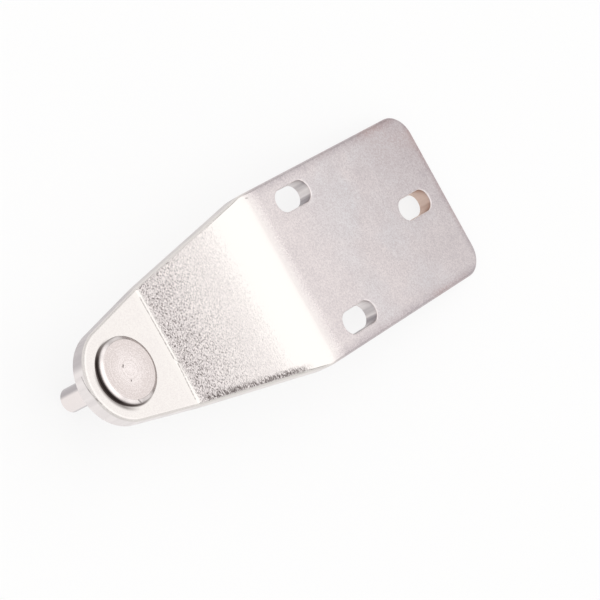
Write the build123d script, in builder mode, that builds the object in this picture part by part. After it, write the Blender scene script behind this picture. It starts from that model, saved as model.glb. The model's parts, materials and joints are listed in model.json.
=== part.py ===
"""Freezer door hinge plate: a joggled steel plate with three adjusting slots and a headed pin.

The plate is blanked flat, with straight tapered sides that run tangent to a round nose, and is then
bent twice so that the nose lies parallel to the flange and lower than it. The pin goes down through
the nose with its head on the upper face.

Frame, in millimetres: the origin is on the pin's axis at the nose's underside, +Z points up out of
the flange and +X runs from the pin to the flange's far end.
"""

from build123d import *

import os
from math import asin, atan2, cos, degrees, hypot, radians, sin, tan

# Plate: stock, joggle and bends
THICKNESS = 4.0
DROP = 17.5
SLOPE_ANGLE = 33.0
LOWER_BEND_RADIUS = 1.2
UPPER_BEND_RADIUS = 3.0

# Plate: outline
NOSE_RADIUS = 11.7
PIN_TO_LOWER_BEND = 14.6
FLANGE_WIDTH = 45.0
FLANGE_LENGTH = 66.6
CORNER_RADIUS = 6.4
WAIST_RADIUS = 8.0
SIDE_BLEND_RADIUS = 40.0
EDGE_ROLL = 0.8

# Adjusting slots: a pair beside the upper bend and one near the far end
SLOT_WIDTH = 5.8
SLOT_LENGTH = 12.6
SLOT_PAIR_SPACING = 32.8
BEND_TO_SLOT_PAIR = 16.1
END_TO_SLOT = 12.6
SLOT_ROLL = 0.3

# Pin: a seat pressed into the nose, a thinner shank below it and a bevelled head above it
PIN_DIAMETER = 6.0
PIN_REACH = 17.9
PIN_TIP_CHAMFER = 0.5
SEAT_DIAMETER = 6.4
SEAT_FIT = 0.02
HEAD_DIAMETER = 16.2
HEAD_HEIGHT = 1.5
BEVEL_WIDTH = 1.05
BEVEL_DROP = 0.65
BEVEL_ROUND = 0.3

# A face counts as upright while its normal rises by less than this
UPRIGHT_LIMIT = 0.1

# Where the bends lie: each is the corner at which the two flat faces would meet
slope = radians(SLOPE_ANGLE)
slope_run = DROP / tan(slope)
slope_length = DROP / sin(slope)
bend_shift = THICKNESS * tan(slope / 2)
upper_bend_x = PIN_TO_LOWER_BEND + slope_run
flange_end_x = upper_bend_x + FLANGE_LENGTH
flange_top = DROP + THICKNESS

# The blank's straight side, from the flange's corner to the nose, and where the lower bend crosses it
half_width = FLANGE_WIDTH / 2
blank_run = PIN_TO_LOWER_BEND + slope_length
taper = atan2(half_width, blank_run) - asin(NOSE_RADIUS / hypot(blank_run, half_width))
lower_bend_half_width = NOSE_RADIUS / cos(taper) + PIN_TO_LOWER_BEND * tan(taper)


def walls_of(part):
    """Faces that stand upright: the plate's cut edge and the slots' walls."""
    return part.faces().filter_by(lambda face: abs(face.normal_at().Z) < UPRIGHT_LIMIT)


def skin_of(part):
    """Faces that look up: nose, bends, slope and flange."""
    return part.faces().filter_by(lambda face: face.normal_at().Z > UPRIGHT_LIMIT)


with BuildPart() as hinge_plate:
    # Side view: the nose, the slope and the flange, one stock thickness all along
    with BuildSketch(Plane.XZ):
        with BuildLine():
            upper_face = FilletPolyline(
                (-NOSE_RADIUS, THICKNESS),
                (PIN_TO_LOWER_BEND, THICKNESS),
                (upper_bend_x, flange_top),
                (flange_end_x, flange_top),
                radius=[LOWER_BEND_RADIUS, UPPER_BEND_RADIUS + THICKNESS],
            )
            under_face = FilletPolyline(
                (-NOSE_RADIUS, 0),
                (PIN_TO_LOWER_BEND + bend_shift, 0),
                (upper_bend_x + bend_shift, DROP),
                (flange_end_x, DROP),
                radius=[LOWER_BEND_RADIUS + THICKNESS, UPPER_BEND_RADIUS],
            )
            Line(upper_face @ 0, under_face @ 0)
            Line(upper_face @ 1, under_face @ 1)
        make_face()
    extrude(amount=half_width, both=True)

    # Plan view: round nose, tapered sides, waist at the upper bend and rounded far corners
    with BuildSketch(Plane.XY):
        with BuildLine():
            nose_arc = CenterArc((0, 0), NOSE_RADIUS, 90 + degrees(taper), 90 - degrees(taper))
            FilletPolyline(
                nose_arc @ 0,
                (PIN_TO_LOWER_BEND, lower_bend_half_width),
                (upper_bend_x, half_width),
                (flange_end_x, half_width),
                (flange_end_x, 0),
                radius=[SIDE_BLEND_RADIUS, WAIST_RADIUS, CORNER_RADIUS],
            )
            mirror(about=Plane.XZ)
        make_face()
    extrude(amount=flange_top, mode=Mode.INTERSECT)
    fillet(skin_of(hinge_plate).edges() & walls_of(hinge_plate).edges(), EDGE_ROLL)

    # Slots through the flange, each along the plate's length
    slot_pair_x = upper_bend_x + BEND_TO_SLOT_PAIR
    slot_places = [
        (slot_pair_x, SLOT_PAIR_SPACING / 2),
        (slot_pair_x, -SLOT_PAIR_SPACING / 2),
        (flange_end_x - END_TO_SLOT, 0),
    ]
    with BuildSketch(Plane.XY.offset(flange_top)):
        with Locations(*slot_places):
            SlotOverall(SLOT_LENGTH, SLOT_WIDTH)
    extrude(amount=-THICKNESS, mode=Mode.SUBTRACT)
    fillet(hinge_plate.edges(Select.LAST).group_by(Axis.Z)[-1], SLOT_ROLL)

    # Hole through the nose for the pin's seat
    with Locations((0, 0, THICKNESS)):
        Hole(SEAT_DIAMETER / 2 + SEAT_FIT, THICKNESS)
hinge_plate.part.label = "hinge_plate"

with BuildPart() as hinge_pin:
    # Half section: the head lies on the nose, the seat fills the hole and the shank hangs below
    shank_radius = PIN_DIAMETER / 2
    seat_radius = SEAT_DIAMETER / 2
    head_radius = HEAD_DIAMETER / 2
    head_top = THICKNESS + HEAD_HEIGHT
    with BuildSketch(Plane.XZ):
        with BuildLine():
            head_outline = FilletPolyline(
                (0, head_top),
                (head_radius - BEVEL_WIDTH, head_top),
                (head_radius, head_top - BEVEL_DROP),
                (head_radius, THICKNESS),
                radius=BEVEL_ROUND,
            )
            Polyline(
                head_outline @ 1,
                (seat_radius, THICKNESS),
                (seat_radius, 0),
                (shank_radius, 0),
                (shank_radius, PIN_TIP_CHAMFER - PIN_REACH),
                (shank_radius - PIN_TIP_CHAMFER, -PIN_REACH),
                (0, -PIN_REACH),
                head_outline @ 0,
            )
        make_face()
    revolve(axis=Axis.Z)
hinge_pin.part.label = "hinge_pin"

os.makedirs("parts", exist_ok=True)
for piece in (hinge_plate, hinge_pin):
    export_step(piece.part, f"parts/{piece.part.label}.step")
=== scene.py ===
"""Freezer door hinge plate: the looks of a joggled steel plate in bright zinc, with its headed pin.

Laid out as a Blender add-on and run as a script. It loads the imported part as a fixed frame, works out
both pieces as numpy surfaces, gives them their plated finishes and sets them in a pale studio.
"""

import json
from functools import partial
from math import asin, atan2, cos, hypot, pi, radians, sin, tan
from types import SimpleNamespace

import bmesh
import bpy
import numpy as np
from bpy.props import FloatProperty, FloatVectorProperty, PointerProperty
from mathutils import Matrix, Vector


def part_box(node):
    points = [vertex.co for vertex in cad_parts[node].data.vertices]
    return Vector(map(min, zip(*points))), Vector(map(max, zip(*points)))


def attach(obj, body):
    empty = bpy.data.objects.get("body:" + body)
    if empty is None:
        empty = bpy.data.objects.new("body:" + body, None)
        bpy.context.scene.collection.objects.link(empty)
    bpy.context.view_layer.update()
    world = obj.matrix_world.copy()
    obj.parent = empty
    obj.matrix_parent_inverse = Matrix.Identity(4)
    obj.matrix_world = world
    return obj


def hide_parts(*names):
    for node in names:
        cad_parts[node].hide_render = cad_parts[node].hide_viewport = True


bl_info = {
    "name": "Freezer door hinge plate",
    "version": (1, 0, 0),
    "blender": (4, 5, 0),
    "location": "3D View > Sidebar > Hinge plate",
    "description": "Builds a zinc-plated hinge plate with its pin, and a pale studio round it",
    "category": "Object",
}

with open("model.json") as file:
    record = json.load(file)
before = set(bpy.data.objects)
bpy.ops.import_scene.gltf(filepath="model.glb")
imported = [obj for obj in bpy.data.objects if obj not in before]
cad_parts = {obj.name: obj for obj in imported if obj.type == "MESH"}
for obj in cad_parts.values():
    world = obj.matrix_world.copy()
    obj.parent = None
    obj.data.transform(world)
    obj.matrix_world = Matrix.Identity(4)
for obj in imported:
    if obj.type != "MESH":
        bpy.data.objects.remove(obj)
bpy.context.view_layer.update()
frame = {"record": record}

MM = 0.001
_, PLATE_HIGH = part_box("hinge_plate")
PIN_LOW, PIN_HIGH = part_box("hinge_pin")
MOUNTS = {mount["name"]: mount for mount in frame["record"]["mounts"]}
BODY = "root"

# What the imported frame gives: the nose's underside is at z = 0 and its pin's axis is the Z axis
HALF_WIDTH = PLATE_HIGH.y
FLANGE_END = PLATE_HIGH.x
FLANGE_TOP = PLATE_HIGH.z
FLANGE_UNDER = MOUNTS["mounting_face"]["pos_m"][2]
THICKNESS = FLANGE_TOP - FLANGE_UNDER
SLOT_PAIR_X, SLOT_PAIR_Y, _ = MOUNTS["slot_left"]["pos_m"]
END_SLOT_X = MOUNTS["slot_end"]["pos_m"][0]
HEAD_TOP = PIN_HIGH.z
HEAD_RADIUS = PIN_HIGH.x
PIN_TIP = PIN_LOW.z
SHANK_RADIUS = MOUNTS["hinge_pin"]["dims"]["r_mm"] * MM

# Columns of the plate's grid round the nose, bends and far corners, and on the plain stretches between them
NOSE_STEPS = 20
BEND_STEPS = 12
CORNER_STEPS = 18
HOLE_TO_BEND_STEPS = 10
SLOPE_STEPS = 40
BEND_TO_SLOT_STEPS = 8
SLOT_TO_SLOT_STEPS = 20

# Points nearer to each other than this are merged, and edges that turn by more than this stay sharp
MERGE_REACH = 0.002 * MM
SHARP_TURN = radians(35)

# Brightness of the light tent's roof: distance from the spot overhead, in roof heights, and the level there
ROOF_LIGHT = [
    (-2, 1.0), (-0.3, 1.35), (1.0, 1.35), (1.75, 1.22), (2.15, 1.3), (2.6, 0.77), (3.5, 0.62), (6, 1.0)
]
# How far the roof's bands slant for each unit across, and the upward part that lower directions are given
ROOF_SKEW = 0.3
LOWEST_RISE = 0.02

# Setting with which a MapRange node eases in and out at its two ends
SMOOTH = {"interpolation_type": "SMOOTHSTEP"}


def linear(code):
    """Linear RGBA of an sRGB hex colour, by the sRGB curve."""
    parts = [int(code[place : place + 2], 16) / 255 for place in (1, 3, 5)]
    return [part / 12.92 if part <= 0.04045 else ((part + 0.055) / 1.055) ** 2.4 for part in parts] + [1.0]


def length(name, millimetres, description):
    """A length property, kept in metres."""
    return FloatProperty(
        name=name, description=description, default=millimetres * MM, min=0, unit="LENGTH", precision=5
    )


def colour(name, code, description):
    """A colour property with an sRGB hex default."""
    return FloatVectorProperty(
        name=name, description=description, default=linear(code), size=4, min=0, max=1, subtype="COLOR"
    )


class PlateSizes(bpy.types.PropertyGroup):
    """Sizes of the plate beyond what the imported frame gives."""

    slope_angle: FloatProperty(
        name="Slope angle", description="Tilt of the slope between nose and flange",
        default=radians(33), subtype="ANGLE",
    )
    lower_bend: length("Lower bend", 14.6, "From the pin's axis to the corner at the foot of the slope")
    lower_bend_radius: length("Lower bend radius", 1.2, "Upper face's radius at the foot of the slope")
    upper_bend_radius: length("Upper bend radius", 7.0, "Upper face's radius where slope and flange meet")
    lower_bend_ease: length("Lower bend ease", 0.09, "How far the skin fills the corner at the slope's foot")
    upper_bend_ease: length("Upper bend ease", 0.15, "How far the skin sags along the bend at the flange")
    bend_ease_reach: length("Bend ease reach", 7.0, "How far from a bend its ease has died out")
    nose_radius: length("Nose radius", 11.7, "Radius of the round nose about the pin")
    corner_radius: length("Corner radius", 6.4, "Radius of the flange's far corners")
    waist_radius: length("Waist radius", 8.0, "Radius where the tapered side meets the flange's side")
    blend_radius: length("Side blend radius", 40.0, "Radius of the slight turn in the side at the lower bend")
    edge_roll: length("Edge roll", 0.8, "Radius that blanking rolled on the upper edge")
    slot_width: length("Slot width", 5.8, "Width of the adjusting slots")
    slot_length: length("Slot length", 12.6, "Overall length of the adjusting slots")
    slot_roll: length("Slot roll", 0.3, "Radius of the slots' upper rims")
    hole_radius: length("Pin hole radius", 3.22, "Radius of the hole that holds the pin's seat")

    @property
    def upper_bend(self):
        """Where the slope's upper face, carried on, meets the flange's."""
        return self.lower_bend + FLANGE_UNDER / tan(self.slope_angle)

    @property
    def taper(self):
        """Angle of the flat blank's straight side, from the flange's corner to where it touches the nose."""
        run = self.lower_bend + FLANGE_UNDER / sin(self.slope_angle)
        return atan2(HALF_WIDTH, run) - asin(self.nose_radius / hypot(run, HALF_WIDTH))

    @property
    def foot_half_width(self):
        """Half of the plate's width where the lower bend crosses it."""
        return self.nose_radius / cos(self.taper) + self.lower_bend * tan(self.taper)

    @property
    def corner_start(self):
        """Where the flange's sides begin to turn into the far corners."""
        return FLANGE_END - self.corner_radius

    @property
    def slot_straight(self):
        """Length of a slot's straight sides."""
        return self.slot_length - self.slot_width


class PinSizes(bpy.types.PropertyGroup):
    """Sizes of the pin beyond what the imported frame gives."""

    seat_radius: length("Seat radius", 3.2, "Radius of the seat in the nose's hole")
    tip_chamfer: length("Tip chamfer", 0.5, "Chamfer round the free end")
    bevel_width: length("Bevel width", 1.05, "Width of the bevel round the head's face")
    bevel_drop: length("Bevel drop", 0.65, "Height of the bevel round the head's face")
    bevel_round: length("Bevel round", 0.3, "Radius at both edges of the bevel")


class FinishColours(bpy.types.PropertyGroup):
    """Colours of the plated finishes."""

    zinc: colour("Zinc plate", "#E6E1DD", "Bright zinc on the plate")
    satin_zinc: colour("Satin zinc", "#E2D9D8", "Pinker zinc on the satin flange")
    cool_zinc: colour("Cool zinc", "#D6D8DC", "Bluer zinc in wide patches towards the flange's far end")
    # Also painted as reflection and shade, darkening the flange towards its far end, its far corner and its
    # outer edges
    zinc_shade: colour("Zinc shade", "#CCC3C4", "Duller zinc in the flange's patches and the slope's grain")
    # Also painted on the slots' rolled rims as a highlight, a bright line in place of their glint
    turned_zinc_and_rim_highlight: colour("Turned zinc", "#F1E9E7", "Bright zinc on the turned pin and the slots' rims")
    faced_zinc: colour("Faced zinc", "#D1C7C4", "Duller zinc on the ringed face of the pin's head")
    # Tan mixed into the end slot's wall round the slot's middle
    end_slot_tan: colour("Slot stain", "#D2B29F", "Tan stain on the end slot's wall")
    cut_edge: colour("Cut edge", "#ECE6E5", "Zinc on the sheared walls")
    # Gives the walls' darker streaks, and is also painted as shade on the slots' walls, the left-looking
    # walls and down the pin's shank
    streaked_and_shaded_zinc: colour("Dull zinc", "#B6B0B2", "Greyer zinc in the slots and down the left-hand sides")
    # Also used as painted shade: the crease at the slope's foot, the corner round the pin's head and the
    # head's wall
    pit_and_painted_shade: colour("Pits and scratches", "#5E5553", "Dull metal in pits and scratches, and grime")


class FinishPatterns(bpy.types.PropertyGroup):
    """Sizes of the patterns in the plated finishes."""

    grain_width: length("Grain width", 0.13, "Width of the ridges on the slope")
    grain_depth: length("Grain depth", 0.17, "Height of the ridges on the slope")
    pit_width: length("Pit width", 0.15, "Width of the pits torn in the slope's grain")
    stroke_width: length("Stroke width", 0.25, "Width of the dark strokes along the slope's right-hand side")
    crystal_width: length("Crystal width", 0.35, "Size of the flange's crystals, drawn coarser than real")
    crystal_depth: length("Crystal depth", 0.02, "Height of the flange's crystals")
    patch_width: length("Patch width", 5, "Size of the duller patches on the flange")
    cool_width: length("Cool patch width", 14, "Size of the bluer patches on the flange")
    streak_width: length("Streak width", 2, "Width of the punch's streaks down the walls")
    scratch_width: length("Scratch width", 0.28, "From the middle of a scratch to its edge")
    wear_width: length("Wear width", 0.6, "Size of the worn stretches along a scratch")
    ring_width: length("Ring width", 0.4, "Width of the rings on the pin's head, drawn coarser than real")
    ring_depth: length("Ring depth", 0.025, "Height of the rings on the pin's head")
    speckle_width: length("Speckle width", 0.3, "Size of the speckles on the pin's head")
    dent_width: length("Dent width", 0.3, "From the middle of a dent on the pin's head to its edge")


class StudioSettings(bpy.types.PropertyGroup):
    """The pale floor and the camera."""

    floor_radius: FloatProperty(
        name="Floor radius", description="Radius of the floor disc", default=12.0, unit="LENGTH"
    )
    floor_colour: colour("Floor colour", "#F4F3F2", "Matt white floor")
    floor_glow: FloatProperty(
        name="Floor glow", description="Share of plain white in the floor as seen, the rest being lit",
        default=0.8, min=0, max=1, subtype="FACTOR",
    )
    camera_place: FloatVectorProperty(
        name="Camera place", description="Camera's place in the part's frame",
        default=(-333.16 * MM, 11.79 * MM, 376.86 * MM), subtype="TRANSLATION", unit="LENGTH",
    )
    camera_turn: FloatVectorProperty(
        name="Camera turn", description="Camera's XYZ rotation",
        default=(radians(25.790), radians(-40.266), radians(-39.431)), subtype="EULER",
    )
    camera_lens: FloatProperty(
        name="Camera lens", description="Focal length in millimetres for a 36 mm sensor", default=133.6
    )


def rounded_path(corners, radii, steps=16):
    """Polyline through the corners with each inner corner turned into an arc of its radius.

    An arc starts radius * tan(turn / 2) before its corner, and its heading turns evenly to the next run's.
    A radius of nothing leaves the corner sharp.
    """
    corners = np.array(corners, float)
    radii = np.array(radii, float)[:, None]
    runs = np.diff(corners, axis=0)
    headings = np.arctan2(runs[:, 1], runs[:, 0])
    turns = (np.diff(headings) + pi) % (2 * pi) - pi
    along = runs[:-1] / np.hypot(*runs[:-1].T)[:, None]
    starts = corners[1:-1] - along * radii * np.tan(np.abs(turns) / 2)[:, None]
    side = np.sign(turns)[:, None] * radii
    centres = starts + side * np.stack([-along[:, 1], along[:, 0]], axis=1)
    heading = headings[:-1, None] + turns[:, None] * np.linspace(0, 1, steps)
    arcs = centres[:, None] + side[..., None] * np.stack([np.sin(heading), -np.cos(heading)], axis=-1)
    return np.concatenate([corners[:1], arcs.reshape(-1, 2), corners[-1:]])


def between(start, end, count):
    """Evenly spaced values strictly between two ends."""
    return np.linspace(start, end, count + 2)[1:-1]


def skin_path(size, depth):
    """Side view of the skin at a depth below the upper face: level, up the slope and level again.

    Each bend keeps one centre at all depths, so the lower arc widens and the upper one tightens with depth,
    and their corners move on by depth * tan(slope / 2).
    """
    shift = depth * tan(size.slope_angle / 2)
    corners = [
        (-size.nose_radius, THICKNESS - depth),
        (size.lower_bend + shift, THICKNESS - depth),
        (size.upper_bend + shift, FLANGE_TOP - depth),
        (FLANGE_END, FLANGE_TOP - depth),
    ]
    return rounded_path(corners, [size.lower_bend_radius + depth, size.upper_bend_radius - depth])


def skin_height(size, x, depth):
    """Height of the skin at a depth: its side view, eased along both bends as real bends are.

    Within its reach a bend's ease is ease * (1 - (distance / reach)^2)^4, taken off at the upper bend and put
    on at the lower one.
    """
    bends = np.array([size.lower_bend, size.upper_bend])
    gap = np.minimum(np.abs(np.asarray(x)[..., None] - bends) / size.bend_ease_reach, 1)
    fill = (1 - gap**2) ** 4 @ np.array([size.lower_bend_ease, -size.upper_bend_ease])
    return np.interp(x, *skin_path(size, depth).T) + fill


def opening_columns(radius, straight, arc_steps=14, straight_steps=6):
    """Distances from the centre at which the grid's columns cross a round-ended opening, tip to tip.

    They are evenly spaced in angle round both ends and in distance along the straight sides. The radius may
    be an array, with one row of columns for each value.
    """
    radius = np.asarray(radius, float)[..., None]
    turn = np.linspace(0, pi / 2, arc_steps)
    sides = between(-straight / 2, straight / 2, straight_steps)
    sides = np.broadcast_to(sides, radius.shape[:-1] + sides.shape)
    return np.concatenate(
        [-straight / 2 - radius * np.cos(turn), sides, straight / 2 + radius * np.sin(turn)], axis=-1
    )


def opening_reach(distance, radius, straight):
    """Half height of a round-ended opening at a distance from its centre, and nothing outside it."""
    beyond = np.maximum(np.abs(distance) - straight / 2, 0)
    return np.sqrt(np.maximum(np.square(radius) - np.square(beyond), 0))


def plate_columns(size, under):
    """Where the grid's columns cross the plate, from nose tip to far end, on its upper or under skin.

    Round the nose, openings, bends and corners they are spaced evenly in angle, so that each arc is smooth.
    The upper skin stops short of the rolled edges.
    """
    inset = 0 if under else size.edge_roll
    depth = THICKNESS if under else 0
    slot = opening_columns(size.slot_width / 2 + (0 if under else size.slot_roll), size.slot_straight)
    pair_slot = SLOT_PAIR_X + slot
    end_slot = END_SLOT_X + slot
    hole = opening_columns(size.hole_radius, 0)
    rolled_nose = size.nose_radius - size.edge_roll
    nose_turn = np.linspace(0, np.arccos(size.hole_radius / rolled_nose), NOSE_STEPS)[:-1]
    nose = -(size.nose_radius - inset) * np.cos(nose_turn)
    bend_turn = np.linspace(0, size.slope_angle, BEND_STEPS)
    half_tan = tan(size.slope_angle / 2)
    lower_start = size.lower_bend - size.lower_bend_radius * half_tan
    lower = lower_start + (size.lower_bend_radius + depth) * np.sin(bend_turn)
    upper_end = size.upper_bend + size.upper_bend_radius * half_tan
    upper = upper_end - (size.upper_bend_radius - depth) * np.sin(bend_turn[::-1])
    slot_tip = END_SLOT_X + size.slot_length / 2 + size.slot_roll
    slot_turn = asin((slot_tip - size.corner_start) / (size.corner_radius - size.edge_roll))
    corner_turn = np.linspace(slot_turn, pi / 2, CORNER_STEPS)[1:]
    corner = size.corner_start + (size.corner_radius - inset) * np.sin(corner_turn)
    return np.concatenate([
        nose,
        hole,
        between(hole[-1], lower[0], HOLE_TO_BEND_STEPS),
        lower,
        between(lower[-1], upper[0], SLOPE_STEPS),
        upper,
        between(upper[-1], pair_slot[0], BEND_TO_SLOT_STEPS),
        pair_slot,
        between(pair_slot[-1], end_slot[0], SLOT_TO_SLOT_STEPS),
        end_slot,
        corner,
    ])


def plate_side(size, columns, inset):
    """Plan of the plate's side at the upper skin's columns, drawn in by an inset.

    It is an arc about the pin, straight tapered stretches up to the flange's width, and a quarter circle at
    the far corner. Round both arcs a column keeps its angle, so it moves with the inset.
    """
    nose_radius, corner_radius = size.nose_radius, size.corner_radius
    taper = size.taper
    straight = rounded_path(
        [
            (-nose_radius * sin(taper), nose_radius * cos(taper)),
            (size.lower_bend, size.foot_half_width),
            (size.upper_bend, HALF_WIDTH),
            (FLANGE_END, HALF_WIDTH),
        ],
        [size.blend_radius, size.waist_radius],
    )
    rolled_nose = nose_radius - size.edge_roll
    nose_turn = np.arccos(np.clip(-columns / rolled_nose, -1, 1))
    on_nose = columns < -rolled_nose * sin(taper)
    rolled_corner = corner_radius - size.edge_roll
    corner_turn = np.arcsin(np.clip((columns - size.corner_start) / rolled_corner, 0, 1))
    on_corner = columns > size.corner_start
    x = np.where(on_nose, -(nose_radius - inset) * np.cos(nose_turn), columns)
    y = np.where(on_nose, (nose_radius - inset) * np.sin(nose_turn), np.interp(columns, *straight.T) - inset)
    corner_y = HALF_WIDTH - corner_radius + (corner_radius - inset) * np.cos(corner_turn)
    x = np.where(on_corner, size.corner_start + (corner_radius - inset) * np.sin(corner_turn), x)
    y = np.where(on_corner, corner_y, y)
    return x, y


def strip_rows(count=18, gather=0.6):
    """Shares from 0 to 1 across a strip of the skin, gathered towards both ends by a sine wave."""
    even = np.linspace(0, 1, count)
    return even - np.sin(2 * pi * even) / (2 * pi) * gather


def half_skin(size, under):
    """Grids of one half of the upper or under skin: middle to the slot's line, and on to the plate's side.

    Each is ruled between two curves over the plan, which part round the openings, and takes its height from
    the skin's side view.
    """
    upper_columns = plate_columns(size, under=False)
    columns = plate_columns(size, under)
    full_y = plate_side(size, upper_columns, 0)[1]
    side_x, side_y = plate_side(size, upper_columns, 0 if under else size.edge_roll)
    slot_radius = size.slot_width / 2 + (0 if under else size.slot_roll)
    middle = opening_reach(columns, size.hole_radius, 0)
    middle = middle + opening_reach(columns - END_SLOT_X, slot_radius, size.slot_straight)
    slot_line = full_y * SLOT_PAIR_Y / HALF_WIDTH
    slot_reach = opening_reach(columns - SLOT_PAIR_X, slot_radius, size.slot_straight)
    share = strip_rows()[:, None]
    depth = THICKNESS if under else 0
    grids = []
    for inner_y, outer_x, outer_y in (
        (middle, columns, slot_line - slot_reach),
        (slot_line + slot_reach, side_x, side_y),
    ):
        x = columns + (outer_x - columns) * share
        y = inner_y + (outer_y - inner_y) * share
        grids.append(np.stack([x, y, skin_height(size, x, depth)], axis=-1))
    return grids


def half_rim(size, roll_steps=10, wall_steps=5):
    """Rolled upper edge and cut wall, carried round one half of the plan from the nose's tip to the far end.

    The profile is a quarter circle from the upper skin to the wall, then straight down to the under skin.
    """
    columns = plate_columns(size, under=False)
    turn = np.linspace(0, pi / 2, roll_steps)
    roll = size.edge_roll
    inset = np.concatenate([roll * (1 - np.sin(turn)), np.zeros(wall_steps)])[:, None]
    depth = np.concatenate([roll * (1 - np.cos(turn)), np.full(wall_steps, roll)])[:, None]
    share = np.concatenate([np.zeros(roll_steps), np.linspace(0, 1, wall_steps + 1)[1:]])[:, None]
    side_x, side_y = plate_side(size, columns, inset)
    end_y = np.concatenate([grid[:, -1, 1] for grid in half_skin(size, under=True)])[-2::-1]
    x = np.concatenate([side_x, np.broadcast_to(FLANGE_END - inset, (inset.size, end_y.size))], axis=1)
    y = np.concatenate([side_y, np.broadcast_to(end_y, (inset.size, end_y.size))], axis=1)
    upper = skin_height(size, x, 0) - depth
    under = skin_height(size, x, THICKNESS)
    return np.stack([x, y, upper + (under - upper) * share], axis=-1)


def opening_wall(centre, top, radius, straight, roll, roll_steps=6, wall_steps=4):
    """Wall of a round-ended opening: its outline carried down, with the upper rim rolled outwards.

    The profile is a quarter circle of the roll's radius, then straight down through the stock.
    """
    turn = np.linspace(0, pi / 2, roll_steps)
    outset = np.concatenate([roll * (1 - np.sin(turn)), np.zeros(wall_steps)])
    depth = np.concatenate([roll * (1 - np.cos(turn)), np.linspace(roll, THICKNESS, wall_steps + 1)[1:]])
    distance = opening_columns(radius + outset, straight)
    reach = opening_reach(distance, (radius + outset)[:, None], straight)
    x = centre[0] + np.concatenate([distance, distance[:, ::-1]], axis=1)
    y = centre[1] + np.concatenate([-reach, reach[:, ::-1]], axis=1)
    return np.stack([x, y, np.broadcast_to(top - depth[:, None], x.shape)], axis=-1)


def turned_grid(profile, steps=128):
    """Profile of radius and height carried once round the Z axis."""
    angle = np.linspace(0, 2 * pi, steps + 1)
    radius, height = profile.T[..., None]
    return np.stack([radius * np.cos(angle), radius * np.sin(angle), height + 0 * angle], axis=-1)


def disc_grid(centre, along, across, radius, rings=3, spokes=65):
    """Flat disc, facing up: centre + radius * share * (cos(turn) * along + sin(turn) * across)."""
    share = np.linspace(0, 1, rings)[:, None, None]
    turn = np.linspace(2 * pi, 0, spokes)[:, None]
    spoke = np.cos(turn) * np.array(along) + np.sin(turn) * np.array(across)
    return np.array(centre) + radius * share * spoke


def grid_mesh(name, grids):
    """Mesh of grids of points, with a quad for each cell of a grid."""
    starts = np.cumsum([0] + [grid.shape[0] * grid.shape[1] for grid in grids])
    quads = []
    for start, grid in zip(starts, grids):
        number = start + np.arange(grid.shape[0] * grid.shape[1]).reshape(grid.shape[:2])
        corners = [number[:-1, :-1], number[:-1, 1:], number[1:, 1:], number[1:, :-1]]
        quads.append(np.stack(corners, axis=-1).reshape(-1, 4))
    mesh = bpy.data.meshes.new(name)
    mesh.from_pydata(np.concatenate([grid.reshape(-1, 3) for grid in grids]), [], np.concatenate(quads))
    return mesh


def closed_mesh(name, grids):
    """One closed mesh from grids of points whose borders coincide.

    Points that coincide along borders and at poles are merged, and the faces are turned outwards.
    """
    mesh = grid_mesh(name, grids)
    shell = bmesh.new()
    shell.from_mesh(mesh)
    bmesh.ops.remove_doubles(shell, verts=shell.verts, dist=MERGE_REACH)
    bmesh.ops.recalc_face_normals(shell, faces=shell.faces)
    open_edges = sum(not edge.is_manifold for edge in shell.edges)
    shell.to_mesh(mesh)
    shell.free()
    if open_edges:
        raise RuntimeError(f"{name} isn't closed: {open_edges} edges are open")
    mesh.shade_smooth()
    mesh.set_sharp_from_angle(angle=SHARP_TURN)
    return mesh


def add_piece(name, mesh, material, node):
    """Puts a finished mesh in the scene in place of its CAD node, riding on the part's one body."""
    mesh.materials.append(material)
    piece = bpy.data.objects.new(name, mesh)
    bpy.context.scene.collection.objects.link(piece)
    weighted = piece.modifiers.new("flat_faces_shade_flat", "WEIGHTED_NORMAL")
    weighted.keep_sharp = True
    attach(piece, BODY)
    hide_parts(node)
    return piece


def add_node(tree, kind, inputs=None, **settings):
    """Adds a shader node of a kind with its settings, and fills its inputs from values, sockets or nodes."""
    node = tree.nodes.new("ShaderNode" + kind)
    for key, value in settings.items():
        setattr(node, key, value)
    for key, value in (inputs or {}).items():
        if isinstance(value, bpy.types.Node):
            value = next(socket for socket in value.outputs if socket.enabled)
        if isinstance(value, bpy.types.NodeSocket):
            tree.links.new(value, node.inputs[key])
        else:
            node.inputs[key].default_value = value
    return node


def new_material(name):
    """An empty node material, add_node for its tree, and its surface's coordinates in millimetres."""
    material = bpy.data.materials.new(name)
    material.use_nodes = True
    material.node_tree.nodes.clear()
    add = partial(add_node, material.node_tree)
    place = add("TexCoord").outputs["Object"]
    return material, add, add("VectorMath", {0: place, "Scale": 1 / MM}, operation="SCALE")


def band(add, value, rise, fall):
    """1 where a value lies between two soft limits, each given as where it starts and where it ends."""
    rising = add("MapRange", {"Value": value, "From Min": rise[0], "From Max": rise[1]}, **SMOOTH)
    falling = add(
        "MapRange",
        {"Value": value, "From Min": fall[0], "From Max": fall[1], "To Min": 1.0, "To Max": 0.0},
        **SMOOTH,
    )
    return add("Math", {0: rising, 1: falling}, operation="MULTIPLY")


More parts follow.
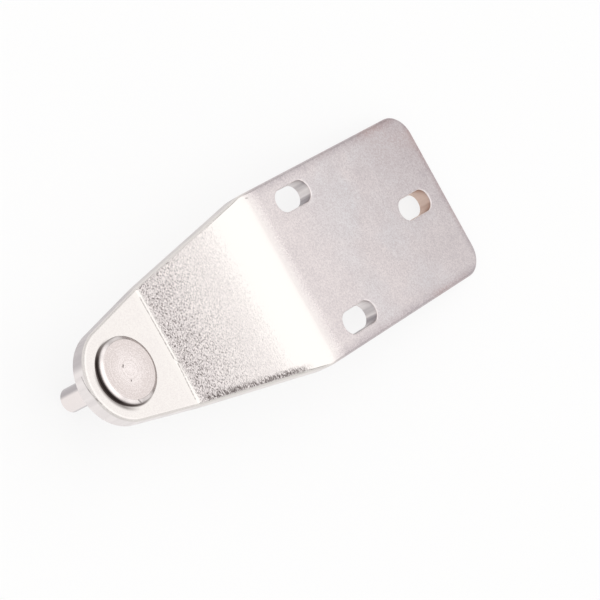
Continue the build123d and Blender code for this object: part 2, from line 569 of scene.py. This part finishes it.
def strokes(add, place, lines, width):
    """1 on any of a few short straight lines, falling to 0 at a width from them.

    A point's gap to a line is its distance from the nearest point of it: start + clamp(share) * run.
    """
    gap = None
    for start, end in lines:
        run = Vector(end) - Vector(start)
        reach = add("VectorMath", {0: place, 1: start}, operation="SUBTRACT")
        share = add("VectorMath", {0: reach, 1: run / run.length_squared}, operation="DOT_PRODUCT")
        share = add("Clamp", {"Value": share})
        nearest = add("VectorMath", {0: run, "Scale": share}, operation="SCALE")
        off = add("VectorMath", {0: reach, 1: nearest}, operation="DISTANCE")
        gap = add("Math", {0: gap, 1: off}, operation="MINIMUM") if gap else off
    return add("MapRange", {"Value": gap, "From Max": width, "To Min": 1.0, "To Max": 0.0}, **SMOOTH)


def on_skin(size, *places):
    """Points on the upper skin, in millimetres, above places in plan."""
    return [(x, y, float(skin_height(size, x * MM, 0)) / MM) for x, y in places]


def plate_zones(add, place, size):
    """Lengths along the plate in millimetres, its surface's coordinates, and a soft mask for each zone of it.

    Rolled edges and cut walls are where the surface leans away from the skin's own lie, so their masks are
    taken from the distance between the two directions.
    """
    split = add("SeparateXYZ", {0: place})
    x, y = split.outputs["X"], split.outputs["Y"]
    foot, top = size.lower_bend / MM, size.upper_bend / MM
    side, end = HALF_WIDTH / MM, FLANGE_END / MM
    on_slope = band(add, x, (foot - 0.5, foot + 0.5), (top - 2, top + 2))
    slope_lie = (-sin(size.slope_angle), 0, cos(size.slope_angle))
    skin_lie = add("Mix", {0: on_slope, 4: (0, 0, 1), 5: slope_lie}, data_type="VECTOR")
    normal = add("TexCoord").outputs["Normal"]
    lean = add("VectorMath", {0: normal, 1: skin_lie}, operation="DISTANCE")
    edge = add("MapRange", {"Value": lean, "From Min": 0.25, "From Max": 0.6}, **SMOOTH)
    flange = add("MapRange", {"Value": x, "From Min": top - 0.8, "From Max": top + 7}, **SMOOTH)
    within_ends = band(add, x, (top + 4, top + 6), (end - 3, end - 2))
    within_sides = band(add, y, (1 - side, 2 - side), (side - 2, side - 1))
    return SimpleNamespace(
        foot=foot, top=top, side=side, end=end, x=x, y=y, normal=normal, edge=edge, flange=flange,
        skin=add("Math", {0: 1.0, 1: edge}, operation="SUBTRACT"),
        roll=band(add, lean, (0.25, 0.6), (1.0, 1.3)),
        wall=band(add, lean, (1.2, 1.4), (1.6, 1.8)),
        slotted=add("Math", {0: within_ends, 1: within_sides}, operation="MULTIPLY"),
    )


def slope_grain(add, place, zones, size, patterns):
    """Grain that the bend drew open on the slope: how open it is, its ridges, its torn pits and its bump.

    It is deepest near the foot and along a strip beside the right-hand side, which the bend drew down, and is
    smoothed away towards the flange. Ridges and pits lie across the plate, three times as long as wide.
    """
    x, foot, top = zones.x, zones.foot, zones.top
    foot_side = size.foot_half_width / MM
    side_rate = (zones.side - foot_side) / (top - foot)
    inboard = add("Math", {0: x, 1: side_rate, 2: zones.y}, operation="MULTIPLY_ADD")
    inboard = add("Math", {0: inboard, 1: foot_side - foot * side_rate})
    strip = band(add, inboard, (0.3, 0.8), (1.0, 2.6))
    for limit in (band(add, x, (foot + 1, foot + 3), (top - 8, top - 3)), zones.skin):
        strip = add("Math", {0: strip, 1: limit}, operation="MULTIPLY")

    stretched = add("VectorMath", {0: place, 1: (1, 0.3, 1)}, operation="MULTIPLY")
    grain, torn, drawn = [
        add("TexNoise", {"Vector": stretched, "Scale": MM / width, "Detail": detail})
        for width, detail in (
            (patterns.grain_width, 0.0), (patterns.pit_width, 1.0), (patterns.stroke_width, 1.0)
        )
    ]
    deep = add(
        "MapRange",
        {"Value": x, "From Min": foot + 3, "From Max": foot + 11, "To Min": 1.0, "To Max": 0.6},
        **SMOOTH,
    )
    opened = band(add, x, (foot + 0.1, foot + 1.2), (top - 14, top - 3))
    for limit in (deep, zones.skin):
        opened = add("Math", {0: opened, 1: limit}, operation="MULTIPLY")
    opened = add("Math", {0: opened, 1: strip}, operation="MAXIMUM")
    height = add("Math", {0: grain, 1: opened}, operation="MULTIPLY")

    # Pits thin out up the slope, and in the strip they run together into dark strokes
    pitted = band(add, x, (foot + 0.1, foot + 1.2), (foot + 1, foot + 18))
    pitted = add("Math", {0: pitted, 1: zones.skin}, operation="MULTIPLY")
    pitted = add("Math", {0: pitted, 1: strip}, operation="MAXIMUM")
    torn = add("MapRange", {"Value": torn, "From Min": 0.55, "From Max": 0.61})
    pits = add("Math", {0: torn, 1: pitted}, operation="MULTIPLY")
    drawn = add("MapRange", {"Value": drawn, "From Min": 0.42, "From Max": 0.54, "To Max": 0.8})
    return SimpleNamespace(
        opened=opened,
        ridges=add("MapRange", {"Value": grain, "From Min": 0.4, "From Max": 0.6, "To Max": 0.55}),
        pits=add("Math", {0: strip, 1: drawn, 2: pits}, operation="MULTIPLY_ADD"),
        bump=add("Bump", {"Height": height, "Distance": patterns.grain_depth}),
    )


def skin_tint(add, place, zones, grain, crystals, colours, patterns):
    """Colour of the upper skin: pinker and mottled on the flange, shaded in the grain, plainer on the nose.

    The mottle is patches of duller zinc with the crystals' tint over them. Painted reflection grades the
    flange from lighter at the bend to darker at the far end and darkens one far corner, painted shade darkens
    it along its outer edges, and it has wide bluer patches on its far half.
    """
    x, foot, top = zones.x, zones.foot, zones.top
    patch = add("TexNoise", {"Vector": place, "Scale": MM / patterns.patch_width, "Detail": 3.0})
    mottle = add("Math", {0: crystals, 1: 3.0, 2: patch}, operation="MULTIPLY_ADD")
    mottle = add("MapRange", {"Value": mottle, "From Min": 1.35, "From Max": 2.6})
    faint = add(
        "MapRange",
        {"Value": x, "From Min": foot - 2, "From Max": foot - 1, "To Min": 0.25, "To Max": 0.0},
        **SMOOTH,
    )
    faint = add("Math", {0: faint, 1: mottle}, operation="MULTIPLY")

    off_middle = add("Math", {0: zones.y}, operation="ABSOLUTE")
    to_side = add("Math", {0: zones.side, 1: off_middle}, operation="SUBTRACT")
    to_end = add("Math", {0: zones.end, 1: x}, operation="SUBTRACT")
    to_edge = add("Math", {0: to_side, 1: to_end}, operation="MINIMUM")
    corner = (zones.end, zones.side, FLANGE_TOP / MM)
    to_corner = add("VectorMath", {0: place, 1: corner}, operation="DISTANCE")
    # Painted reflection and shade: lighter at the bend and darker towards the far end and the far corner on
    # the +Y side, as the dim far room it reflects there, and darker along the outer edges
    painted_dimming = [
        add(
            "MapRange", {"Value": x, "From Min": top, "From Max": zones.end, "To Min": -0.3, "To Max": 0.35}
        ),
        add("MapRange", {"Value": to_edge, "From Min": 3, "From Max": 0.4, "To Max": 0.8}, **SMOOTH),
        add("MapRange", {"Value": to_corner, "From Min": 36, "From Max": 4, "To Max": 0.5}, **SMOOTH),
    ]
    for dimming in painted_dimming:
        mottle = add("Math", {0: mottle, 1: dimming})
    shade = add("Math", {0: mottle, 1: zones.flange, 2: faint}, operation="MULTIPLY_ADD")
    shade = add("Math", {0: grain.opened, 1: grain.ridges, 2: shade}, operation="MULTIPLY_ADD")

    cool = add("TexNoise", {"Vector": place, "Scale": MM / patterns.cool_width, "Detail": 4.0})
    cool = add("MapRange", {"Value": cool, "From Min": 0.4, "From Max": 0.6, "To Max": 0.6})
    far = add("MapRange", {"Value": x, "From Min": top + 12, "From Max": top + 36})
    cool = add("Math", {0: cool, 1: far}, operation="MULTIPLY")
    pinker = add("Math", {0: grain.opened, 1: 0.5, 2: zones.flange}, operation="MULTIPLY_ADD")
    tint = colours.zinc
    for share, other in ((pinker, colours.satin_zinc), (cool, colours.cool_zinc)):
        tint = add("Mix", {0: share, 6: tint, 7: other}, data_type="RGBA")
    return add("Mix", {0: shade, 6: tint, 7: colours.zinc_shade}, data_type="RGBA", clamp_factor=False)


def wall_tint(add, place, zones, colours, patterns):
    """Colour of the sheared walls, streaked from top to bottom by the punch.

    Painted shade darkens them where they look left and more in the slots, where they are also more streaked,
    and the end slot's wall is tinted tan.
    """
    drawn_out = add("VectorMath", {0: place, 1: (1, 1, 0.05)}, operation="MULTIPLY")
    streak = add("TexNoise", {"Vector": drawn_out, "Scale": MM / patterns.streak_width, "Detail": 3.0})
    streak = add(
        "MapRange", {"Value": streak, "From Min": 0.3, "From Max": 0.7, "To Min": -0.18, "To Max": 0.18}
    )
    stronger = add("Math", {0: zones.slotted, 1: 2.0, 2: 1.0}, operation="MULTIPLY_ADD")
    # Painted shade: walls that look left, and the walls inside the slots, are darkened
    left = add("SeparateXYZ", {0: zones.normal}).outputs["Y"]
    darkened = add("MapRange", {"Value": left, "From Min": 0.38, "From Max": 0.55, "To Max": 0.7}, **SMOOTH)
    for amount, share in ((streak, stronger), (zones.slotted, 0.35)):
        darkened = add("Math", {0: amount, 1: share, 2: darkened}, operation="MULTIPLY_ADD")
    cut = add(
        "Mix", {0: darkened, 6: colours.cut_edge, 7: colours.streaked_and_shaded_zinc}, data_type="RGBA", clamp_factor=False
    )
    # Tan mixed into the walls within a short distance of the end slot's middle
    slot = (END_SLOT_X / MM, 0, FLANGE_TOP / MM)
    from_slot = add("VectorMath", {0: place, 1: slot}, operation="DISTANCE")
    tan_share = add("MapRange", {"Value": from_slot, "From Min": 9, "From Max": 8, "To Max": 0.7})
    return add("Mix", {0: tan_share, 6: cut, 7: colours.end_slot_tan}, data_type="RGBA")


def plate_marks_and_shade(add, place, zones, size, patterns):
    """1 on the plate's scratches and spots, and on its painted shade.

    A die mark runs along the foot of the slope, with a nick where it steps, painted dark as the shade and
    dark reflection in its dent. A spot lies on each long edge, and a line is rubbed on the nose's rolled
    edge, all worn faint in places. Painted shade and reflection fill the corner round the pin's head, mostly
    on the nose's side of it where the head's dark wall is reflected, and are smeared out there.
    """
    rubbed = [(-11.1, 3.7, 2.6), (-11.68, 0.65, 3.2), (-11.24, -2.56, 3.7), (-10.8, -3.58, 3.85)]
    marks_and_shade = strokes(
        add, place,
        [
            # Painted shade: the dark line at the slope's foot, with its nick, stands for the die mark's dent
            # and the shade and dark reflection in it
            on_skin(size, (14.5, 12.9), (14.5, -3.05)),
            on_skin(size, (14.63, -3.37), (15.39, -4.74)),
            on_skin(size, (14.78, -4.52), (14.23, -13.46)),
            on_skin(size, (43.0, 21.2), (43.7, 21.0)),
            on_skin(size, (34.5, -20.2), (35.8, -20.7)),
            *zip(rubbed, rubbed[1:]),
        ],
        patterns.scratch_width / MM,
    )
    worn = add("TexNoise", {"Vector": place, "Scale": MM / patterns.wear_width, "Detail": 1.0})
    worn = add("MapRange", {"Value": worn, "From Min": 0.3, "From Max": 0.6, "To Min": 0.2, "To Max": 0.7})
    marks_and_shade = add("Math", {0: marks_and_shade, 1: worn}, operation="MULTIPLY")

    # Painted shade and reflection round the pin's head: the corner where head meets nose is darkened, mostly
    # on the nose's side, in place of its shade and of the head's dark wall reflected in the nose
    flat = add("VectorMath", {0: place, 1: (1, 1, 0)}, operation="MULTIPLY")
    from_pin = add("VectorMath", {0: flat}, operation="LENGTH")
    nosewards = add("VectorMath", {0: place, 1: (-0.9, -0.45, 0)}, operation="DOT_PRODUCT")
    rim = HEAD_RADIUS / MM
    for fall, (start, full), most in (
        ((rim + 0.1, rim + 0.6), (-4, 4), 0.95),
        ((rim + 0.6, rim + 1.5), (5.5, 8), 0.75),
    ):
        share = add("MapRange", {"Value": nosewards, "From Min": start, "From Max": full, "To Max": most})
        head_corner_shade = band(add, from_pin, (rim - 0.2, rim), fall)
        for limit in (share, zones.skin):
            head_corner_shade = add("Math", {0: head_corner_shade, 1: limit}, operation="MULTIPLY")
        marks_and_shade = add("Math", {0: marks_and_shade, 1: head_corner_shade}, operation="MAXIMUM")
    return marks_and_shade


def plated_sheet(colours, patterns, size):
    """Bright zinc plate on bent sheet steel: satin flange, grainy slope, smooth nose and cut walls."""
    # To the eye: pale, faintly pink metal, a mirror on the bends and the nose and frosted on the flange
    material, add, place = new_material("bright_zinc_plated_sheet_steel")
    zones = plate_zones(add, place, size)
    grain = slope_grain(add, place, zones, size, patterns)

    # Crystals of the satin flange, drawn coarser than real so that they show
    crystals = add("TexNoise", {"Vector": place, "Scale": MM / patterns.crystal_width, "Detail": 1.0})
    height = add("Math", {0: crystals, 1: zones.flange}, operation="MULTIPLY")
    bump = add("Bump", {"Height": height, "Distance": patterns.crystal_depth, "Normal": grain.bump})

    # Walls, a painted highlight on the slot rims, and marks with painted shade over the skin's own colour
    # Painted highlight: the slots' rolled rims are tinted bright where their glint would be
    slot_rim_highlight = add("Math", {0: zones.roll, 1: zones.slotted}, operation="MULTIPLY")
    marks_and_shade = plate_marks_and_shade(add, place, zones, size, patterns)
    marks_and_shade = add("Math", {0: marks_and_shade, 1: grain.pits}, operation="MAXIMUM")
    tint = skin_tint(add, place, zones, grain, crystals, colours, patterns)
    for share, other in (
        (zones.wall, wall_tint(add, place, zones, colours, patterns)),
        (slot_rim_highlight, colours.turned_zinc_and_rim_highlight),
        (marks_and_shade, colours.pit_and_painted_shade),
    ):
        tint = add("Mix", {0: share, 6: tint, 7: other}, data_type="RGBA")

    rough = add("Math", {0: zones.flange, 1: zones.edge}, operation="MAXIMUM")
    rough = add("MapRange", {"Value": rough, "To Min": 0.08, "To Max": 0.3})
    rough = add("Math", {0: zones.edge, 1: 0.12, 2: rough}, operation="MULTIPLY_ADD")
    surface = add(
        "BsdfPrincipled", {"Base Color": tint, "Metallic": 1.0, "Roughness": rough, "Normal": bump}
    )
    add("OutputMaterial", {"Surface": surface})
    return material


def plated_turning(colours, patterns):
    """Bright zinc plate on a turned pin: smooth shank, and a head faced off with rings and a centre pip."""
    # To the eye: brighter than the plate, with a softer ringed face and a line of painted shade under the
    # head's rim
    material, add, place = new_material("bright_zinc_plated_turned_steel")
    face = HEAD_TOP / MM
    split = add("SeparateXYZ", {0: place})
    x, y, z = split.outputs["X"], split.outputs["Y"], split.outputs["Z"]
    on_face = add("MapRange", {"Value": z, "From Min": face - 0.12, "From Max": face - 0.04})

    # Rings left by the facing tool, fading outwards, drawn coarser than real so that they show
    flat = add("VectorMath", {0: place, 1: (1, 1, 0)}, operation="MULTIPLY")
    radius = add("VectorMath", {0: flat}, operation="LENGTH")
    rings = add(
        "TexNoise", {"W": radius, "Scale": MM / patterns.ring_width, "Detail": 1.0}, noise_dimensions="1D"
    )
    fading = add(
        "MapRange", {"Value": radius, "From Min": 1.0, "From Max": 6.0, "To Min": 1.0, "To Max": 0.25}
    )
    rings = add("Math", {0: rings, 1: fading}, operation="MULTIPLY")
    speckle = add("TexNoise", {"Vector": place, "Scale": MM / patterns.speckle_width, "Detail": 1.0})
    height = add("Math", {0: speckle, 1: 0.1, 2: rings}, operation="MULTIPLY_ADD")
    height = add("Math", {0: height, 1: on_face}, operation="MULTIPLY")
    bump = add("Bump", {"Height": height, "Distance": patterns.ring_depth})
    faced = add("Math", {0: rings, 1: speckle})
    faced = add(
        "MapRange", {"Value": faced, "From Min": 0.4, "From Max": 1.1, "To Min": 1.2, "To Max": 0.25}
    )
    faced = add("Math", {0: faced, 1: on_face}, operation="MULTIPLY")

    # Shank, with painted shade and dark reflection down its left-hand side and along its right-hand one
    reach = SHANK_RADIUS / MM
    bright = band(add, y, (-0.98 * reach, -0.8 * reach), (0.3 * reach, 0.62 * reach))
    below = add("Math", {0: z, 1: 0.0}, operation="LESS_THAN")
    darkened = add("Math", {0: 1.0, 1: bright}, operation="SUBTRACT")
    darkened = add("Math", {0: darkened, 1: below}, operation="MULTIPLY")

    # Pip and dents near the middle, a nick across the bevel, the bevel darker on its side towards the slope,
    # and painted shade up the head's wall where it meets the nose
    marks_and_shade = strokes(
        add, place,
        [
            ((-1.55, 1.2, face), (-1.2, 1.55, face)),
            ((-1.35, -2.4, face), (-1.3, -2.3, face)),
            ((-2.2, -6.95, face), (-1.3, -8.1, face - 0.6)),
        ],
        patterns.dent_width / MM,
    )
    bevel = band(add, z, (face - 0.7, face - 0.6), (face - 0.12, face - 0.04))
    slopewards = add("MapRange", {"Value": x, "From Min": 0.5, "From Max": 3.0, "To Max": 0.5})
    # Painted shade: the head's wall is darkened where it stands in the corner on the nose
    head_wall = band(add, z, (THICKNESS / MM - 0.1, THICKNESS / MM), (face - 0.75, face - 0.35))
    for zone, share in ((bevel, slopewards), (head_wall, 0.9)):
        head_darkening = add("Math", {0: zone, 1: share}, operation="MULTIPLY")
        marks_and_shade = add("Math", {0: marks_and_shade, 1: head_darkening}, operation="MAXIMUM")

    tint = colours.turned_zinc_and_rim_highlight
    for share, other in ((faced, colours.faced_zinc), (darkened, colours.streaked_and_shaded_zinc), (marks_and_shade, colours.pit_and_painted_shade)):
        tint = add("Mix", {0: share, 6: tint, 7: other}, data_type="RGBA")
    rough = add(
        "MapRange",
        {"Value": z, "From Min": face - 0.75, "From Max": face - 0.65, "To Min": 0.08, "To Max": 0.24},
    )
    surface = add(
        "BsdfPrincipled", {"Base Color": tint, "Metallic": 1.0, "Roughness": rough, "Normal": bump}
    )
    add("OutputMaterial", {"Surface": surface})
    return material


def matt_floor(settings):
    """Matt white floor: mostly plain white as seen, so that it stays pale and still takes the part's shadow.

    It is clear from below, so that a low view isn't blocked.
    """
    # To the eye: even white paper with a soft grey shadow
    material, add, _ = new_material("matt_white_floor")
    rays = add("LightPath").outputs
    seen = add("Math", {0: rays["Is Camera Ray"], 1: rays["Is Glossy Ray"]})
    seen = add("Math", {0: seen, 1: rays["Is Transmission Ray"]}, use_clamp=True)
    glow = add("Math", {0: seen, 1: settings.floor_glow}, operation="MULTIPLY")
    matt = add("BsdfDiffuse", {"Color": settings.floor_colour})
    white = add("Emission", {"Strength": 1.0})
    lit = add("MixShader", {0: glow, 1: matt, 2: white})
    clear = add("BsdfTransparent")
    back = add("NewGeometry").outputs["Backfacing"]
    mixed = add("MixShader", {0: back, 1: lit, 2: clear})
    add("OutputMaterial", {"Surface": mixed})
    return material


def studio_world(up, along, across):
    """A light tent over the part, with a dim gap in it for the camera.

    A direction meets the tent's roof, one unit up, at its part along the floor over its upward part, and the
    ramp gives the roof's brightness there, from behind the camera to the far wall. It falls off to both
    sides. The gap is a band of directions at the camera's height, round behind the camera.
    """
    world = bpy.data.worlds.new("light_tent")
    world.use_nodes = True
    world.node_tree.nodes.clear()
    add = partial(add_node, world.node_tree)
    way = add("TexCoord").outputs["Generated"]
    rise = add("VectorMath", {0: way, 1: up}, operation="DOT_PRODUCT")
    rise = add("Math", {0: rise, 1: LOWEST_RISE}, operation="MAXIMUM")
    spot, aside = [
        add(
            "Math",
            {0: add("VectorMath", {0: way, 1: line}, operation="DOT_PRODUCT"), 1: rise},
            operation="DIVIDE",
        )
        for line in (along + ROOF_SKEW * across, across)
    ]
    first, last = ROOF_LIGHT[0][0], ROOF_LIGHT[-1][0]
    share = add("MapRange", {"Value": spot, "From Min": first, "From Max": last})
    ramp = add("ValToRGB", {"Fac": share})
    for place, _ in ROOF_LIGHT[1:-1]:
        ramp.color_ramp.elements.new((place - first) / (last - first))
    for element, (_, level) in zip(ramp.color_ramp.elements, ROOF_LIGHT):
        element.color = (level, level, level, 1)
    ramp.color_ramp.interpolation = "EASE"

    split = add("SeparateXYZ", {0: way})
    gap = band(add, split.outputs["Z"], (0.5, 0.6), (0.73, 0.79))
    behind = add("MapRange", {"Value": split.outputs["X"], "From Min": 0.15, "From Max": -0.1}, **SMOOTH)
    gap = add("Math", {0: gap, 1: behind}, operation="MULTIPLY")
    level = add("MapRange", {"Value": gap, "To Min": 1.0, "To Max": 0.35})
    aside = add("Math", {0: aside}, operation="ABSOLUTE")
    fall_off = add(
        "MapRange",
        {"Value": aside, "From Min": 0.6, "From Max": 2, "To Min": 1.0, "To Max": 0.75},
        **SMOOTH,
    )
    level = add("Math", {0: level, 1: fall_off}, operation="MULTIPLY")
    light = add("Background", {"Color": ramp, "Strength": level})
    add("OutputWorld", {"Surface": light})
    return world


class HINGE_OT_plate(bpy.types.Operator):
    """Builds the joggled plate with its slots, rolled edges and pin hole."""

    bl_idname = "hinge.plate"
    bl_label = "Build plate"

    def execute(self, context):
        scene = context.scene
        size = scene.hinge_plate
        half = half_skin(size, under=False) + half_skin(size, under=True) + [half_rim(size)]
        slot = (size.slot_width / 2, size.slot_straight, size.slot_roll)
        half.append(opening_wall((SLOT_PAIR_X, SLOT_PAIR_Y), FLANGE_TOP, *slot))
        other_half = [grid * (1, -1, 1) for grid in half]
        end_slot = opening_wall((END_SLOT_X, 0), FLANGE_TOP, *slot)
        hole = opening_wall((0, 0), THICKNESS, size.hole_radius, 0, 0)
        mesh = closed_mesh("plate", half + other_half + [end_slot, hole])
        material = plated_sheet(scene.hinge_finish, scene.hinge_patterns, size)
        add_piece("plate", mesh, material, "hinge_plate")
        return {"FINISHED"}


class HINGE_OT_pin(bpy.types.Operator):
    """Builds the turned pin with its bevelled head."""

    bl_idname = "hinge.pin"
    bl_label = "Build pin"

    def execute(self, context):
        scene = context.scene
        size = scene.hinge_pin
        corners = [
            (0, HEAD_TOP),
            (HEAD_RADIUS - size.bevel_width, HEAD_TOP),
            (HEAD_RADIUS, HEAD_TOP - size.bevel_drop),
            (HEAD_RADIUS, THICKNESS),
            (size.seat_radius, THICKNESS),
            (size.seat_radius, 0),
            (SHANK_RADIUS, 0),
            (SHANK_RADIUS, PIN_TIP + size.tip_chamfer),
            (SHANK_RADIUS - size.tip_chamfer, PIN_TIP),
            (0, PIN_TIP),
        ]
        radii = [size.bevel_round, size.bevel_round] + [0] * (len(corners) - 4)
        mesh = closed_mesh("pin", [turned_grid(rounded_path(corners, radii))])
        material = plated_turning(scene.hinge_finish, scene.hinge_patterns)
        add_piece("pin", mesh, material, "hinge_pin")
        return {"FINISHED"}


class HINGE_OT_stage(bpy.types.Operator):
    """Sets the floor, light tent and camera. The part lies on its pin's tip and its far lower edge."""

    bl_idname = "hinge.stage"
    bl_label = "Set stage"

    def execute(self, context):
        scene = context.scene
        settings = scene.hinge_studio
        heel = Vector((SHANK_RADIUS - scene.hinge_pin.tip_chamfer, 0, PIN_TIP))
        toe = Vector((FLANGE_END, 0, FLANGE_UNDER))
        along = (toe - heel).normalized()
        across = Vector((0, 1, 0))
        up = along.cross(across)
        mesh = grid_mesh("floor", [disc_grid(heel, along, across, settings.floor_radius)])
        mesh.materials.append(matt_floor(settings))
        floor = bpy.data.objects.new("floor", mesh)
        scene.collection.objects.link(floor)

        camera_data = bpy.data.cameras.new("camera")
        camera_data.lens = settings.camera_lens
        camera = bpy.data.objects.new("camera", camera_data)
        camera.location = settings.camera_place
        camera.rotation_euler = settings.camera_turn
        scene.collection.objects.link(camera)
        scene.camera = camera

        scene.world = studio_world(up, along, across)
        scene.view_settings.view_transform = "Standard"
        return {"FINISHED"}


class HINGE_PT_panel(bpy.types.Panel):
    """Sidebar panel with the part's sizes, colours and build steps."""

    bl_idname = "HINGE_PT_panel"
    bl_label = "Hinge plate"
    bl_space_type = "VIEW_3D"
    bl_region_type = "UI"
    bl_category = "Hinge plate"

    def draw(self, context):
        for group, operator in SECTIONS:
            settings = getattr(context.scene, group)
            box = self.layout.box()
            for name in settings.bl_rna.properties.keys():
                if name not in ("name", "rna_type"):
                    box.prop(settings, name)
            if operator:
                box.operator(operator)


GROUPS = {
    "hinge_plate": PlateSizes,
    "hinge_pin": PinSizes,
    "hinge_finish": FinishColours,
    "hinge_patterns": FinishPatterns,
    "hinge_studio": StudioSettings,
}
SECTIONS = [
    ("hinge_finish", None),
    ("hinge_patterns", None),
    ("hinge_plate", "hinge.plate"),
    ("hinge_pin", "hinge.pin"),
    ("hinge_studio", "hinge.stage"),
]
CLASSES = [*GROUPS.values(), HINGE_OT_plate, HINGE_OT_pin, HINGE_OT_stage, HINGE_PT_panel]


def register():
    for cls in CLASSES:
        bpy.utils.register_class(cls)
    for name, group in GROUPS.items():
        setattr(bpy.types.Scene, name, PointerProperty(type=group))


def unregister():
    for name in GROUPS:
        delattr(bpy.types.Scene, name)
    for cls in reversed(CLASSES):
        bpy.utils.unregister_class(cls)


def main():
    """Builds the part and its stage."""
    register()
    bpy.ops.hinge.plate()
    bpy.ops.hinge.pin()
    bpy.ops.hinge.stage()


if __name__ == "__main__":
    main()
